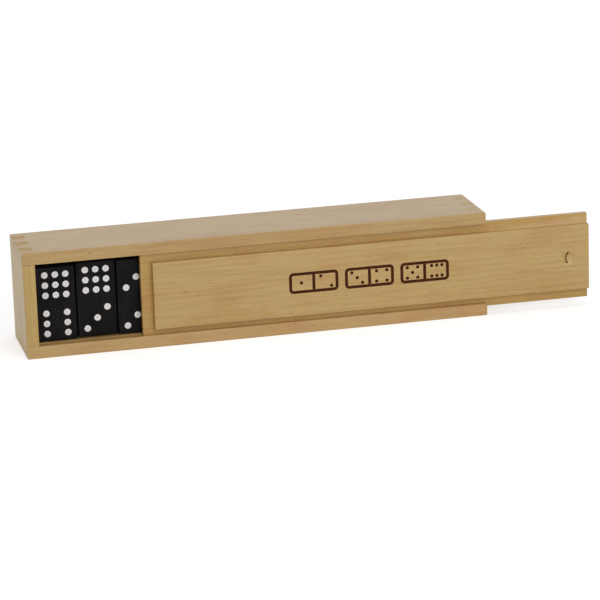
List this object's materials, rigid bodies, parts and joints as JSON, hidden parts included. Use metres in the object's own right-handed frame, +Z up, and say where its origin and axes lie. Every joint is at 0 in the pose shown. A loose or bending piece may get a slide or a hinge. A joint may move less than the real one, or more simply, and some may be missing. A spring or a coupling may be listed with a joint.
{
  "type": "domino storage box",
  "caption": "Long wooden box with comb-jointed corners, a raised-panel lid that slides out of grooves at one end, and black dominoes with white pips standing inside.",
  "frame": {"origin": "centre of the long side face that the box stands on (underside of bottom_side)", "axes": "+X along the box, the way the lid slides open; -Y out of the lid's side; +Z up"},
  "size_m": [0.3016, 0.0442, 0.056],
  "materials": {
    "board_wood": "sanded pale beech, clear matt",
    "panel_wood": "thin sanded panel, clear matt",
    "lid_wood": "sanded pale beech, clear matt",
    "black_wood": "black stained hardwood, satin",
    "white_enamel": "white enamel dots, satin"
  },
  "bodies": {
    "box": {"top_side": "board_wood", "bottom_side": "board_wood", "left_end": "board_wood", "right_end": "board_wood", "back_panel": "panel_wood", "tile_9_6": "black_wood", "tile_9_3": "black_wood", "tile_3_3": "black_wood", "tile_2_1": "black_wood", "tile_3_0": "black_wood", "tile_3_1": "black_wood", "tile_3_2": "black_wood", "tile_4_0": "black_wood", "tile_4_1": "black_wood", "tile_4_3": "black_wood", "tile_4_4": "black_wood", "tile_5_0": "black_wood", "tile_5_1": "black_wood", "tile_5_2": "black_wood", "tile_5_4": "black_wood", "tile_5_5": "black_wood", "tile_6_0": "black_wood", "tile_6_1": "black_wood", "tile_6_2": "black_wood", "tile_6_3": "black_wood", "tile_6_4": "black_wood", "tile_6_5": "black_wood", "tile_6_6": "black_wood", "tile_7_0": "black_wood", "tile_7_1": "black_wood", "tile_7_2": "black_wood", "tile_7_3": "black_wood", "tile_7_4": "black_wood", "tile_7_5": "black_wood", "tile_7_6": "black_wood", "tile_7_7": "black_wood", "tile_8_0": "black_wood", "tile_8_1": "black_wood", "tile_8_2": "black_wood", "tile_8_3": "black_wood", "tile_8_4": "black_wood", "tile_8_5": "black_wood", "tile_8_6": "black_wood", "tile_8_7": "black_wood", "tile_8_8": "black_wood", "tile_9_0": "black_wood", "tile_9_1": "black_wood", "tile_9_4": "black_wood", "tile_9_5": "black_wood", "tile_9_7": "black_wood", "tile_9_8": "black_wood", "tile_9_9": "black_wood", "pips_layer_1": "white_enamel", "pips_layer_2": "white_enamel", "pips_layer_3": "white_enamel", "pips_layer_4": "white_enamel", "pips_layer_5": "white_enamel"},
    "lid": {"lid": "lid_wood"}
  },
  "joints": [
    {"name": "lid_slide", "type": "slide", "parent": "box", "child": "lid", "axis": [1, 0, 0], "range_m": [-0.0564, 0.185]}
  ]
}
